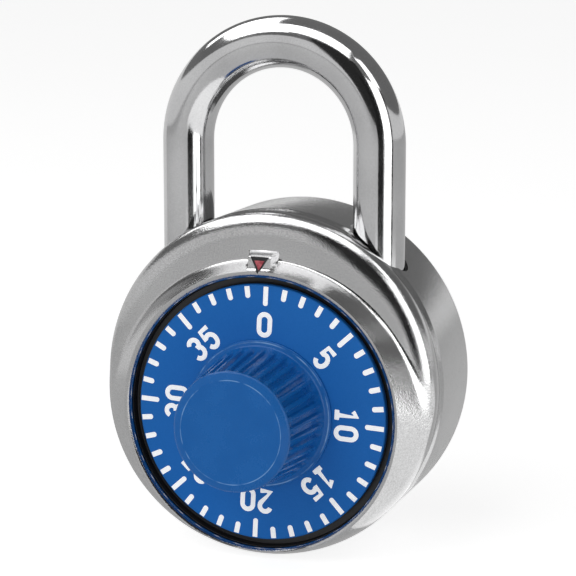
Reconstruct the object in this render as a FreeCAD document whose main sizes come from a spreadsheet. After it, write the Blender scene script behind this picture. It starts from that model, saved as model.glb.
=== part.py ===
"""Combination padlock, as a parametric document in millimetres.

Frame: +X to the right and +Z up as the dial is read, -Y out of the dial's face. The origin is
the centre of the flat back, so every depth below is a distance forward of the back (-Y).
"""
import FreeCAD, Part
import Sketcher
import math
import os

Vector = FreeCAD.Vector
FRONT = "XZ_Plane"      # its sketches read x right, y up, and their pads grow forward (-Y)
SIDE = "YZ_Plane"       # its sketches read x along +Y, y along +Z

document = FreeCAD.newDocument("combination_padlock")
sheet = document.addObject("Spreadsheet::Sheet", "Sizes")

SIZES = {
    # drum and bezel
    "drum_radius": 24.0, "wall": 1.0, "back_round": 2.0, "back_lip_radius": 21.0, "back_lip": 0.7,
    "neck_radius": 23.65, "neck_rear": 14.8, "neck_front": 18.0, "neck_round": 0.35,
    "ring_root": 20.1, "trim_margin": 8.0, "overcut": 1.0,
    "face_depth": 20.2, "face_round": 2.2, "rim_depth": 22.9, "rim_radius": 19.3,
    "ridge_radius": 22.9, "ridge_drop": 5.2, "dial_drop": 3.4, "crest_radius": 22.702,
    "crest_round": 9.9, "recess_radius": 18.9, "floor_front": 20.4, "floor_rear": 19.3,
    # index boss and marker
    "boss_width": 3.8, "boss_low": 16.0, "boss_high": 18.3, "boss_low_depth": 22.65,
    "boss_high_depth": 21.92, "marker_width": 2.7, "marker_height": 2.4, "marker_depth": 0.5,
    "marker_thick": 0.4, "marker_play": 0.05,
    # rear cover and liner
    "cover_radius": 22.85, "cover_thick": 1.0, "cover_pad_radius": 20.7,
    "liner_outer": 22.9, "liner_inner": 22.0, "liner_rear": 1.8, "liner_front": 19.2,
    # shackle
    "rod_radius": 3.57, "leg_offset": 13.97, "shackle_depth": 12.6, "bow_centre": 32.8,
    "toe_end": 10.5, "heel_end": -12.2, "end_bevel": 0.8, "leg_hole": 4.0, "leg_bore": 3.63,
    "notch_floor": 11.6, "notch_low": 12.7, "notch_top": 17.0,
    "heel_core": 1.73, "heel_flat_top": 5.5, "heel_flat_low": -9.2, "heel_ring_top": -6.6,
    "stop_low": 3.0, "stop_top": 5.3, "stop_play": 0.15, "stop_left": 19.6,
    "stop_front": 15.1,
    # mechanism plate, its pillars and the heel guide
    "plate_rear": 4.6, "plate_thick": 1.4, "plate_radius": 21.4, "pillar_radius": 1.8,
    "pillar_circle": 16.5, "rivet_radius": 1.0, "rivet_head": 0.6, "rivet_head_radius": 1.6,
    "post_stake": 1.5, "pin_stake": 1.05,
    "guide_low": 7.4, "guide_high": 9.8, "guide_left": 18.8, "guide_right": 9.3,
    "guide_front": 17.0,
    # wheel pack
    "wheel_radius": 9.5, "wheel_thick": 1.6, "wheel_pitch": 2.8, "wheel_rear": 8.8,
    "post_radius": 2.5, "wheel_bore": 2.55, "post_front": 16.9, "flange_radius": 4.4,
    "flange_thick": 0.8, "spacer_radius": 4.2, "spacer_thick": 1.1, "fly_inner": 4.7,
    "fly_outer": 6.5, "fly_width": 1.15, "fly_height": 0.9, "gate_floor": 7.0,
    "gate_width": 3.0, "gate_angle": 17.8, "wave_height": 0.9, "wave_strip": 0.3,
    # dial, knob and spindle
    "dial_radius": 17.9, "dial_front": 21.8, "dial_thick": 1.1, "spindle_radius": 2.2,
    "spindle_bore": 2.25, "square_side": 2.6, "driver_thick": 1.6, "driver_radius": 8.6,
    "driver_front": 18.8, "screw_radius": 0.9, "screw_head": 1.7, "screw_head_thick": 0.25,
    "screw_length": 2.8, "bush_radius": 3.6, "bush_rear": 19.1, "washer_thick": 0.2,
    "washer_radius": 8.0, "knob_skirt": 10.3, "knob_foot_edge": 0.4, "knob_foot": 9.3,
    "knob_grip_rear": 23.3, "knob_flare": -1.5, "knob_grip": 8.3, "knob_grip_front": 32.4,
    "knob_face": 7.2, "knob_round": 1.2, "knob_front": 33.5,
    "flute_count": 36, "flute_radius": 0.5, "flute_depth": 0.3, "flute_overrun": 0.1,
    # locking lever, its pin, clip and spring
    "lever_x": 13.5, "lever_z": -12.5, "lever_rear": 11.3, "lever_thick": 2.6,
    "hub_radius": 2.8, "pin_radius": 1.5, "pin_bore": 1.55, "collar_radius": 2.4,
    "pin_tail": 0.5, "pin_groove": 1.1, "clip_thick": 0.5, "clip_radius": 2.5, "end_play": 0.05,
    "clip_mouth": 1.76,
    "arm_inner": 12.5, "hook_waist": 9.6, "arm_outer": 16.6, "latch_tip": 11.1, "latch_low": 14.2,
    "latch_top": 16.2, "latch_bevel": 0.8, "hook_left": 6.4, "hook_right": 9.9,
    "hook_top": 17.2, "fence_angle": 18.4, "fence_tip": 9.85, "fence_width": 1.7,
    "fence_root": 13.5, "fence_rear": 8.6, "fence_front": 16.2, "coil_radius": 3.1, "coil_wire": 0.3,
    "coil_pitch": 0.9, "coil_turns": 3.5, "coil_rear": 6.9, "coil_tail": 4.5,
}

for row, (alias, number) in enumerate(SIZES.items(), start=1):
    sheet.set(f"A{row}", alias)
    sheet.set(f"B{row}", str(number))
    sheet.setAlias(f"B{row}", alias)
document.recompute()


class Size:
    """A length or angle that holds both its number and the sheet expression it comes from."""

    def __init__(self, number, text):
        self.number = float(number)
        self.text = text

    def __add__(self, other):
        other = as_size(other)
        return Size(self.number + other.number, f"({self.text} + {other.text})")

    def __sub__(self, other):
        other = as_size(other)
        return Size(self.number - other.number, f"({self.text} - {other.text})")

    def __mul__(self, factor):
        return Size(self.number * factor, f"({self.text} * {factor})")

    def __neg__(self):
        return Size(-self.number, f"(-{self.text})")


def as_size(value):
    return value if isinstance(value, Size) else Size(value, f"({value})")


def size(alias):
    return Size(SIZES[alias], f"Sizes.{alias}")


def bind(target, prop, value):
    target.setExpression(prop, as_size(value).text)


# ---------------------------------------------------------------- bodies and sketches

def body(label, depth=0.0, x=0.0, z=0.0):
    """A PartDesign body whose own origin stands `depth` forward of the back, at (x, z)."""
    made = document.addObject("PartDesign::Body", label)
    made.Label = label
    for axis, value in (("x", as_size(x)), ("y", -as_size(depth)), ("z", as_size(z))):
        made.setExpression(f"Placement.Base.{axis}", value.text)
    return made


def sketch(owner, plane, name, forward=0.0):
    """A sketch on the body's own plane, moved `forward` along that plane's normal."""
    made = owner.newObject("Sketcher::SketchObject", name)
    support = next(f for f in owner.Origin.OriginFeatures if f.Role == plane)
    made.AttachmentSupport = (support, [""])
    made.MapMode = "FlatFace"
    made.AttachmentOffset = FreeCAD.Placement(Vector(0, 0, as_size(forward).number),
                                              FreeCAD.Rotation())
    made.setExpression("AttachmentOffset.Base.z", as_size(forward).text)
    return made


def place_point(target, shape, point, x, y):
    """Ties one end of a curve to (x, y) measured from the sketch's origin."""
    for kind, value in (("DistanceX", as_size(x)), ("DistanceY", as_size(y))):
        rule = target.addConstraint(Sketcher.Constraint(kind, -1, 1, shape, point, value.number))
        target.setExpression(f"Constraints[{rule}]", value.text)


def circle(target, radius, x=0.0, y=0.0):
    radius = as_size(radius)
    centre = Vector(as_size(x).number, as_size(y).number, 0)
    shape = target.addGeometry(Part.Circle(centre, Vector(0, 0, 1), radius.number))
    rule = target.addConstraint(Sketcher.Constraint("Radius", shape, radius.number))
    target.setExpression(f"Constraints[{rule}]", radius.text)
    place_point(target, shape, 3, x, y)


def outline(target, points):
    """A closed outline. A point is (x, y), or (x, y, r) where an arc of radius r leads to it:
    r is positive when the arc turns left on its way, and negative when it turns right."""
    ends = [(as_size(p[0]).number, as_size(p[1]).number) for p in points]
    joints = []
    for index, point in enumerate(points):
        (x0, y0), (x1, y1) = ends[index - 1], ends[index]
        if len(point) == 2:
            shape = target.addGeometry(Part.LineSegment(Vector(x0, y0, 0), Vector(x1, y1, 0)))
            joints.append((shape, 1, 2))
            continue
        radius = abs(as_size(point[2]).number)
        left = as_size(point[2]).number > 0
        chord = math.hypot(x1 - x0, y1 - y0)
        rise = math.sqrt(max(radius ** 2 - chord ** 2 / 4, 0.0)) * (1 if left else -1)
        centre = Vector((x0 + x1) / 2 - (y1 - y0) / chord * rise,
                        (y0 + y1) / 2 + (x1 - x0) / chord * rise, 0)
        start = math.atan2(y0 - centre.y, x0 - centre.x)
        stop = math.atan2(y1 - centre.y, x1 - centre.x)
        if not left:
            start, stop = stop, start
        if stop < start:
            stop += 2 * math.pi
        arc = Part.ArcOfCircle(Part.Circle(centre, Vector(0, 0, 1), radius), start, stop)
        shape = target.addGeometry(arc)
        rule = target.addConstraint(Sketcher.Constraint("Radius", shape, radius))
        magnitude = as_size(point[2]) if left else -as_size(point[2])
        target.setExpression(f"Constraints[{rule}]", magnitude.text)
        joints.append((shape, 1, 2) if left else (shape, 2, 1))
    for index, (shape, _, last) in enumerate(joints):
        following, first, _ = joints[(index + 1) % len(joints)]
        target.addConstraint(Sketcher.Constraint("Coincident", shape, last, following, first))
        place_point(target, shape, last, points[index][0], points[index][1])


def rectangle(target, left, low, right, high):
    outline(target, [(left, low), (right, low), (right, high), (left, high)])


def grow(owner, kind, profile, name, length=None, **settings):
    """A pad or pocket of a sketch."""
    made = owner.newObject(f"PartDesign::{kind}", name)
    made.Profile = profile
    for prop, value in settings.items():
        setattr(made, prop, value)
    if length is not None:
        bind(made, "Length", length)
    return made


def turn(owner, kind, profile, name, axis="H_Axis"):
    made = owner.newObject(f"PartDesign::{kind}", name)
    made.Profile = profile
    made.ReferenceAxis = (profile, [axis])
    made.Angle = 360
    return made


def disc(label, depth, thickness, radius, bore=None, x=0.0, z=0.0):
    """A round plate or washer whose rear face is `depth` forward of the back."""
    made = body(label, depth, x, z)
    ring = sketch(made, FRONT, f"{label}_outline")
    circle(ring, radius)
    if bore is not None:
        circle(ring, bore)
    grow(made, "Pad", ring, f"{label}_pad", thickness)
    return made


def primitive(kind, name, **values):
    made = document.addObject(f"Part::{kind}", name)
    for prop, value in values.items():
        bind(made, prop, value)
    return made


def stand(target, x, y, z, axis=Vector(0, 0, 1), angle=0.0):
    """Places a primitive, its position tied to the sheet."""
    target.Placement = FreeCAD.Placement(Vector(0, 0, 0), FreeCAD.Rotation(axis, angle))
    for letter, value in (("x", x), ("y", y), ("z", z)):
        target.setExpression(f"Placement.Base.{letter}", as_size(value).text)
    return target


def cut(label, base, tool):
    made = document.addObject("Part::Cut", label)
    made.Label = label
    made.Base = base
    made.Tool = tool
    return made


def fuse(label, shapes):
    made = document.addObject("Part::MultiFuse", label)
    made.Label = label
    made.Shapes = shapes
    made.Refine = True
    return made


drop = size("dial_drop")
nodes = {}

# ---------------------------------------------------------------- front shell

def front_shell():
    """Drum and bezel drawn from one sheet: an eccentric raised ring stands on the flat crescent
    face, and a boss in the ring's slope carries the index triangle."""
    shell = body("shell_blank")
    radius = size("drum_radius")
    face_round = size("face_round")
    neck_round = size("neck_round")
    profile = sketch(shell, SIDE, "drum_profile")
    outline(profile, [
        (-size("back_lip"), size("back_lip_radius")),
        (0.0, size("back_lip_radius")),
        (0.0, radius - size("back_round")),
        (-size("back_round"), radius, size("back_round")),
        (-size("neck_rear"), radius),
        (-size("neck_rear") - neck_round, size("neck_radius"), neck_round),
        (-size("neck_front") + neck_round, size("neck_radius")),
        (-size("neck_front"), radius, neck_round),
        (-size("face_depth"), radius - face_round, face_round),
        (-size("face_depth"), 0.0),
        (-size("floor_rear"), 0.0),
        (-size("floor_rear"), radius - size("wall")),
        (-size("back_lip"), radius - size("wall")),
    ])
    turn(shell, "Revolution", profile, "drum")

    ridge = sketch(shell, FRONT, "ridge_circle", size("ring_root"))
    circle(ridge, size("ridge_radius"), 0.0, -size("ridge_drop"))
    rim = sketch(shell, FRONT, "rim_circle", size("rim_depth"))
    circle(rim, size("rim_radius"), 0.0, -drop)
    ring = shell.newObject("PartDesign::AdditiveLoft", "raised_ring")
    ring.Profile = ridge
    ring.Sections = [rim]

    boss = sketch(shell, SIDE, "boss_profile")
    outline(boss, [
        (-size("ring_root"), size("boss_low")),
        (-size("boss_low_depth"), size("boss_low")),
        (-size("boss_high_depth"), size("boss_high")),
        (-size("ring_root"), size("boss_high")),
    ])
    grow(shell, "Pad", boss, "index_boss", size("boss_width"), Midplane=True)

    beyond = size("trim_margin")
    crest = sketch(shell, SIDE, "crest_profile")
    outline(crest, [
        (-size("neck_front"), radius),
        (-size("rim_depth"), size("crest_radius"), size("crest_round")),
        (-size("rim_depth") - beyond, size("crest_radius")),
        (-size("rim_depth") - beyond, radius + beyond),
        (-size("neck_front"), radius + beyond),
    ])
    turn(shell, "Groove", crest, "crest_trim")

    recess = sketch(shell, FRONT, "recess_circle", size("floor_front"))
    circle(recess, size("recess_radius"), 0.0, -drop)
    grow(shell, "Pocket", recess, "dial_recess", beyond, Reversed=True)
    bearing = sketch(shell, FRONT, "bearing_circle", size("floor_rear"))
    circle(bearing, size("bush_radius"), 0.0, -drop)
    grow(shell, "Pocket", bearing, "bearing_hole", beyond, Reversed=True)
    grow_leg_holes(shell, size("leg_hole"), -size("shackle_depth"))
    seat = boss_triangle("marker_seat", 0.0, beyond)
    return cut("front_shell", shell, seat)


def grow_leg_holes(owner, radius, level):
    """Two holes for the shackle's legs, from the middle of the body up through its wall."""
    legs = sketch(owner, "XY_Plane", f"{owner.Name}_leg_circles")
    circle(legs, radius, size("leg_offset"), level)
    circle(legs, radius, -size("leg_offset"), level)
    grow(owner, "Pocket", legs, f"{owner.Name}_leg_holes", size("drum_radius"), Reversed=True)


def boss_triangle(label, play, thickness):
    """The index triangle standing in the boss's slope, smaller by the play all round."""
    lean = math.atan2(SIZES["boss_low_depth"] - SIZES["boss_high_depth"],
                      SIZES["boss_high"] - SIZES["boss_low"])
    prism = body(label)
    half = size("marker_width") * 0.5 - play
    base = size("marker_height") * 0.5 - play
    point = as_size(play) * 2 - size("marker_height") * 0.5
    shape = sketch(prism, FRONT, f"{label}_outline")
    outline(shape, [(0.0, point), (half, base), (-half, base)])
    grow(prism, "Pad", shape, f"{label}_pad", thickness)
    middle_y = (size("boss_low_depth") + size("boss_high_depth")) * -0.5
    middle_z = (size("boss_low") + size("boss_high")) * 0.5
    turned = FreeCAD.Rotation(Vector(1, 0, 0), -math.degrees(lean))
    prism.Placement = FreeCAD.Placement(Vector(), turned)
    sunk = size("marker_depth")
    prism.setExpression("Placement.Base.y", (middle_y + sunk * math.cos(lean)).text)
    prism.setExpression("Placement.Base.z", (middle_z - sunk * math.sin(lean)).text)
    return prism


nodes["front_shell"] = front_shell()
nodes["index_marker"] = boss_triangle("index_marker", size("marker_play"), size("marker_thick"))

# ---------------------------------------------------------------- rear cover and liner

def back_cover():
    """Pressed cover: its flange sits inside the rolled lip and its flat pad comes out flush."""
    cover = disc("back_cover", size("back_lip"), size("cover_thick"), size("cover_radius"))
    pad = sketch(cover, FRONT, "pad_circle")
    circle(pad, size("cover_pad_radius"))
    grow(cover, "Pad", pad, "raised_pad", size("back_lip"), Reversed=True)
    dish = sketch(cover, FRONT, "dish_circle", size("cover_thick") - size("back_lip"))
    circle(dish, size("cover_pad_radius") - size("cover_thick"))
    grow(cover, "Pocket", dish, "dish", size("trim_margin"), Reversed=True)
    return cover


def inner_liner():
    """Stiffening ring inside the drum; its two bores guide the shackle's legs."""
    liner = disc("inner_liner", size("liner_rear"), size("liner_front") - size("liner_rear"),
                 size("liner_outer"), size("liner_inner"))
    grow_leg_holes(liner, size("leg_bore"), size("liner_rear") - size("shackle_depth"))
    return liner


nodes["back_cover"] = back_cover()
nodes["inner_liner"] = inner_liner()

# ---------------------------------------------------------------- shackle

def shackle():
    """Bent rod. The short leg carries the latch notch, and the long leg a flat and a ring
    groove that the heel stop runs in."""
    rod = size("rod_radius")
    side = size("leg_offset")
    plane = -size("shackle_depth")
    bevel = size("end_bevel")
    bow = primitive("Torus", "bow", Radius1=side, Radius2=rod, Angle3=180.0)
    stand(bow, 0.0, plane, size("bow_centre"), Vector(1, 0, 0), 90)
    pieces = [bow]
    for name, x, end in (("toe", side, size("toe_end")), ("heel", -side, size("heel_end"))):
        leg = primitive("Cylinder", f"{name}_leg", Radius=rod,
                        Height=size("bow_centre") - end - bevel)
        nose = primitive("Cone", f"{name}_nose", Radius1=rod - bevel, Radius2=rod, Height=bevel)
        pieces.append(stand(leg, x, plane, end + bevel))
        pieces.append(stand(nose, x, plane, end))
    blank = fuse("shackle_blank", pieces)

    margin = size("trim_margin")
    floor = size("notch_floor")
    notch = body("notch_tool", size("shackle_depth"))
    shape = sketch(notch, FRONT, "notch_outline")
    outline(shape, [
        (side - margin, size("notch_low")),
        (side - rod, size("notch_low")),
        (floor, size("notch_low") + floor - side + rod),
        (floor, size("notch_top")),
        (side - margin, size("notch_top")),
    ])
    grow(notch, "Pad", shape, "notch_pad", rod * 3, Midplane=True)

    core = size("heel_core")
    low = size("heel_flat_low")
    ring_height = size("heel_ring_top") - low
    flat = primitive("Box", "heel_flat_tool", Length=margin, Width=margin * 2,
                     Height=size("heel_flat_top") - low)
    stand(flat, -side - core - margin, plane - margin, low)
    band = stand(primitive("Cylinder", "ring_band", Radius=rod * 2, Height=ring_height),
                 -side, plane, low)
    heart = stand(primitive("Cylinder", "ring_heart", Radius=core, Height=ring_height),
                  -side, plane, low)
    tools = fuse("shackle_tools", [notch, flat, cut("ring_tool", band, heart)])
    return cut("shackle", blank, tools)


nodes["shackle"] = shackle()

# ---------------------------------------------------------------- mechanism plate and its parts

plate_front = size("plate_rear") + size("plate_thick")
PILLAR_ANGLES = (90, 205, 262)      # degrees from +X: clear of the wheels and the lever
pillar_places = [(size("pillar_circle") * math.cos(math.radians(degrees)),
                  size("pillar_circle") * math.sin(math.radians(degrees)))
                 for degrees in PILLAR_ANGLES]


def mechanism_plate():
    """The plate that carries the wheel post, the lever pin and the heel guide."""
    plate = disc("mechanism_plate", size("plate_rear"), size("plate_thick"), size("plate_radius"))
    holes = sketch(plate, FRONT, "plate_holes")
    circle(holes, size("post_stake"), 0.0, -drop)
    circle(holes, size("pin_stake"), size("lever_x"), size("lever_z"))
    for x, z in pillar_places:
        circle(holes, size("rivet_radius"), x, z)
    grow(plate, "Pocket", holes, "plate_hole_cut", size("trim_margin"), Midplane=True)
    return plate


def turned_pin(label, depth, steps, x=0.0, z=0.0):
    """A pin of stacked cylinders (radius, length), the first with its rear face at the depth."""
    made = body(label, depth, x, z)
    forward = as_size(0.0)
    for number, (radius, length) in enumerate(steps):
        ring = sketch(made, FRONT, f"{label}_step_{number}", forward)
        circle(ring, radius)
        grow(made, "Pad", ring, f"{label}_pad_{number}", length)
        forward = forward + length
    return made


def plate_standoffs():
    """Three identical pillars between the cover and the plate, riveted over in front."""
    inside = size("cover_thick")
    pillars = [turned_pin(f"pillar_{number}", inside, [
        (size("pillar_radius"), size("plate_rear") - inside),
        (size("rivet_radius"), size("plate_thick")),
        (size("rivet_head_radius"), size("rivet_head")),
    ], x, z) for number, (x, z) in enumerate(pillar_places)]
    group = document.addObject("Part::Compound", "plate_standoffs")
    group.Label = "plate_standoffs"
    group.Links = pillars
    return group


def heel_guide():
    """Block with a bore for the long leg, on the mechanism plate."""
    low = size("guide_low")
    block = body("guide_block", plate_front)
    face = sketch(block, FRONT, "guide_face")
    rectangle(face, -size("guide_left"), low, -size("guide_right"), size("guide_high"))
    grow(block, "Pad", face, "guide_pad", size("guide_front") - plate_front)
    bore = primitive("Cylinder", "guide_bore", Radius=size("leg_bore"), Height=size("trim_margin"))
    stand(bore, -size("leg_offset"), -size("shackle_depth"), low - size("overcut"))
    return cut("heel_guide", block, bore)


def heel_retainer():
    """Stop in the long leg's flat: the leg lifts until the flat's lower end meets it."""
    stop = body("heel_retainer", plate_front)
    right = -size("leg_offset") - size("heel_core") - size("stop_play")
    bar = sketch(stop, FRONT, "stop_bar")
    rectangle(bar, -size("stop_left"), size("stop_low"), right, size("stop_top"))
    grow(stop, "Pad", bar, "stop_pad", size("stop_front") - plate_front)
    return stop


nodes["mechanism_plate"] = mechanism_plate()
nodes["plate_standoffs"] = plate_standoffs()
nodes["heel_guide"] = heel_guide()
nodes["heel_retainer"] = heel_retainer()

# ---------------------------------------------------------------- wheel pack

DRIVER_TAB = 120.0      # where the driver's tab stands at rest, degrees from +X
FIRST_LEAD = 165.0      # degrees from the driver's tab to the tab it picks up, at rest
TAB_TOUCH = 15.0        # degrees between the middles of two tabs that touch
TAB_STAGGER = 100.0     # degrees between the two tabs of one wheel


def radial_bar(target, degrees, inner, outer, width, centre=0.0):
    """A bar outline from one radius to another, at an angle round a centre at height `centre`."""
    angle = math.radians(degrees)
    half = width * 0.5
    outline(target, [(reach * math.cos(angle) - across * math.sin(angle),
                      reach * math.sin(angle) + across * math.cos(angle) + centre)
                     for reach, across in ((inner, -half), (outer, -half),
                                           (outer, half), (inner, half))])


def fly_tab(owner, name, degrees, forward, backward=False):
    """A small tab on a wheel's face: it reaches the tab of the next wheel once a turn."""
    tab = sketch(owner, FRONT, name, forward)
    radial_bar(tab, degrees, size("fly_inner"), size("fly_outer"), size("fly_width"))
    grow(owner, "Pad", tab, f"{name}_pad", size("fly_height"), Reversed=backward)


def tumbler(number, front_tab, rear_tab=None):
    """Gated wheel. Wheel 3 stands next to the driver, and wheel 1 next to the plate."""
    label = f"tumbler_{number}"
    depth = size("wheel_rear") + size("wheel_pitch") * (number - 1)
    wheel = disc(label, depth, size("wheel_thick"), size("wheel_radius"), size("wheel_bore"),
                 0.0, -drop)
    gate = sketch(wheel, FRONT, f"{label}_gate")
    radial_bar(gate, SIZES["gate_angle"], size("gate_floor"),
               size("wheel_radius") + size("overcut"), size("gate_width"))
    grow(wheel, "Pocket", gate, f"{label}_gate_cut", size("trim_margin"), Midplane=True)
    fly_tab(wheel, f"{label}_front_tab", front_tab, size("wheel_thick"))
    if rear_tab is not None:
        fly_tab(wheel, f"{label}_rear_tab", rear_tab, 0.0, backward=True)
    return wheel


def wheel_post():
    """Fixed post that the wheels turn on, staked through the mechanism plate."""
    shaft = size("post_front") - plate_front - size("flange_thick")
    return turned_pin("wheel_post", size("plate_rear"), [
        (size("post_stake"), size("plate_thick")),
        (size("flange_radius"), size("flange_thick")),
        (size("post_radius"), shaft),
    ], 0.0, -drop)


def pack_spring():
    """Wave washer between the post's flange and the first wheel, drawn as a dished ring."""
    made = body("pack_spring", plate_front + size("flange_thick"), 0.0, -drop)
    strip = size("wave_strip")
    high = size("wave_height")
    inner = size("wheel_bore")
    outer = size("spacer_radius")
    section = sketch(made, SIDE, "wave_section")
    outline(section, [(0.0, outer), (-strip, outer), (-high, inner), (strip - high, inner)])
    turn(made, "Revolution", section, "wave_ring")
    return made


nodes["wheel_post"] = wheel_post()
nodes["pack_spring"] = pack_spring()

tab_angle = DRIVER_TAB + FIRST_LEAD
for number in (3, 2, 1):
    rear = tab_angle - TAB_STAGGER if number > 1 else None
    nodes[f"tumbler_{number}"] = tumbler(number, tab_angle, rear)
    if rear is not None:
        tab_angle = rear - TAB_TOUCH

spacer_play = (size("wheel_pitch") - size("wheel_thick") - size("spacer_thick")) * 0.5
for place, name in enumerate(("rear_spacer", "middle_spacer", "front_spacer")):
    depth = size("wheel_rear") + size("wheel_thick") + size("wheel_pitch") * place + spacer_play
    nodes[name] = disc(name, depth, size("spacer_thick"), size("spacer_radius"),
                       size("wheel_bore"), 0.0, -drop)

# ---------------------------------------------------------------- dial, knob and spindle

dial_rear = size("dial_front") - size("dial_thick")
driver_rear = size("driver_front") - size("driver_thick")


def square(target, side):
    half = size(side) * 0.5
    rectangle(target, -half, -half, half, half)


def square_hole(owner):
    """A square hole right through, so that the piece can't turn on the spindle."""
    hole = sketch(owner, FRONT, f"{owner.Name}_square")
    square(hole, "square_side")
    grow(owner, "Pocket", hole, f"{owner.Name}_square_cut", size("trim_margin"), Midplane=True)


def dial_plate():
    """Flat dial with a square hole for the spindle."""
    plate = disc("dial_plate", dial_rear, size("dial_thick"), size("dial_radius"), None,
                 0.0, -drop)
    square_hole(plate)
    return plate


def knob():
    """Turned knob: a flared foot on the dial, then a fluted grip that narrows to the face."""
    made = body("knob", size("dial_front"), 0.0, -drop)
    rear = size("dial_front")
    profile = sketch(made, SIDE, "knob_profile")
    outline(profile, [
        (0.0, 0.0),
        (0.0, size("knob_skirt")),
        (-size("knob_foot_edge"), size("knob_skirt")),
        (rear - size("knob_grip_rear"), size("knob_foot"), size("knob_flare")),
        (rear - size("knob_grip_front"), size("knob_grip")),
        (rear - size("knob_front"), size("knob_face"), size("knob_round")),
        (rear - size("knob_front"), 0.0),
    ])
    turn(made, "Revolution", profile, "knob_turned")
    clear = size("flute_radius") - size("flute_depth")
    rear_end = sketch(made, FRONT, "flute_rear", size("knob_grip_rear") - rear)
    circle(rear_end, size("flute_radius"), 0.0, size("knob_foot") + clear)
    beyond = size("flute_overrun")
    front_end = sketch(made, FRONT, "flute_front", size("knob_front") - rear + beyond)
    circle(front_end, size("flute_radius"), 0.0, size("knob_grip") + clear - beyond)
    flute = made.newObject("PartDesign::SubtractiveLoft", "flute")
    flute.Profile = rear_end
    flute.Sections = [front_end]
    flutes = made.newObject("PartDesign::PolarPattern", "flutes")
    flutes.Originals = [flute]
    flutes.Axis = (rear_end, ["N_Axis"])
    flutes.Angle = 360
    bind(flutes, "Occurrences", size("flute_count"))
    made.Tip = flutes
    return made


def spindle():
    """Round in its bushing, and squared at both ends for the driver disc and the dial."""
    made = body("spindle", driver_rear, 0.0, -drop)
    neck = sketch(made, FRONT, "spindle_neck")
    square(neck, "square_side")
    grow(made, "Pad", neck, "driver_square", size("driver_thick"))
    barrel = sketch(made, FRONT, "spindle_barrel", size("driver_thick"))
    circle(barrel, size("spindle_radius"))
    grow(made, "Pad", barrel, "barrel", dial_rear - size("driver_front"))
    head = sketch(made, FRONT, "spindle_head", dial_rear - driver_rear)
    square(head, "square_side")
    grow(made, "Pad", head, "dial_square", size("dial_thick"))
    tapped = sketch(made, FRONT, "spindle_tapping")
    circle(tapped, size("screw_radius"))
    grow(made, "Pocket", tapped, "tapping", size("screw_length"), Reversed=True)
    return made


def driver_disc():
    """Ungated disc on the spindle; its tab picks up the nearest wheel."""
    made = disc("driver_disc", driver_rear, size("driver_thick"), size("driver_radius"), None,
                0.0, -drop)
    square_hole(made)
    fly_tab(made, "driver_tab", DRIVER_TAB, 0.0, backward=True)
    return made


nodes["dial_plate"] = dial_plate()
nodes["knob"] = knob()
nodes["spindle"] = spindle()
nodes["driver_disc"] = driver_disc()
nodes["driver_screw"] = turned_pin("driver_screw", driver_rear - size("screw_head_thick"), [
    (size("screw_head"), size("screw_head_thick")),
    (size("screw_radius"), size("screw_length")),
], 0.0, -drop)
nodes["spindle_bushing"] = disc("spindle_bushing", size("bush_rear"),
                                size("floor_front") - size("bush_rear"),
                                size("bush_radius"), size("spindle_bore"), 0.0, -drop)
nodes["dial_washer"] = disc("dial_washer", size("floor_front"), size("washer_thick"),
                            size("washer_radius"), size("spindle_bore"), 0.0, -drop)

# ---------------------------------------------------------------- locking lever

ARM_FOOT = (-34.0, -36.0)       # where the arm ends by its hub, inside and outside edge
ARM_HEAD = (48.0, 20.0)         # where it runs into the hook, inside and outside edge


def around_wheels(radius, degrees):
    """A point at an angle round the wheels' centre."""
    angle = math.radians(degrees)
    return radius * math.cos(angle), radius * math.sin(angle) - drop


def locking_lever():
    """One pressed lever: hub, an arm bent round the wheels, a latch nose and a fence bar."""
    made = body("locking_lever", size("lever_rear"))
    inner = size("arm_inner")
    outer = size("arm_outer")
    tip = size("latch_tip")
    low = size("latch_low")
    bevel = size("latch_bevel")
    arm = sketch(made, FRONT, "arm_outline")
    outline(arm, [
        (*around_wheels(inner, ARM_FOOT[0]), -inner),
        around_wheels(outer, ARM_FOOT[1]),
        (*around_wheels(outer, ARM_HEAD[1]), outer),
        (size("hook_right"), size("hook_waist")),
        (size("hook_right"), low),
        (tip - bevel, low),
        (tip, low + bevel),
        (tip, size("latch_top")),
        (size("hook_right"), size("hook_top")),
        (size("hook_left"), size("hook_top")),
        (size("hook_left"), size("hook_waist")),
        around_wheels(inner, ARM_HEAD[0]),
    ])
    grow(made, "Pad", arm, "arm_pad", size("lever_thick"))
    hub = sketch(made, FRONT, "hub_circle")
    circle(hub, size("hub_radius"), size("lever_x"), size("lever_z"))
    grow(made, "Pad", hub, "hub_pad", size("lever_thick"))
    fence = sketch(made, FRONT, "fence_outline", size("fence_rear") - size("lever_rear"))
    radial_bar(fence, SIZES["fence_angle"], size("fence_tip"), size("fence_root"),
               size("fence_width"), -drop)
    grow(made, "Pad", fence, "fence_pad", size("fence_front") - size("fence_rear"))
    bore = sketch(made, FRONT, "lever_bore")
    circle(bore, size("pin_bore"), size("lever_x"), size("lever_z"))
    grow(made, "Pocket", bore, "lever_bore_cut", size("trim_margin"), Midplane=True)
    return made


def lever_pin():
    """Shouldered pin staked in the plate, with a groove near its end for the clip."""
    shoulder = size("lever_rear") - plate_front - size("end_play")
    grip = size("lever_thick") + size("end_play") * 2
    return turned_pin("lever_pin", size("plate_rear"), [
        (size("pin_stake"), size("plate_thick")),
        (size("collar_radius"), shoulder),
        (size("pin_radius"), grip),
        (size("pin_groove"), size("clip_thick")),
        (size("pin_radius"), size("pin_tail")),
    ], size("lever_x"), size("lever_z"))


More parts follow.
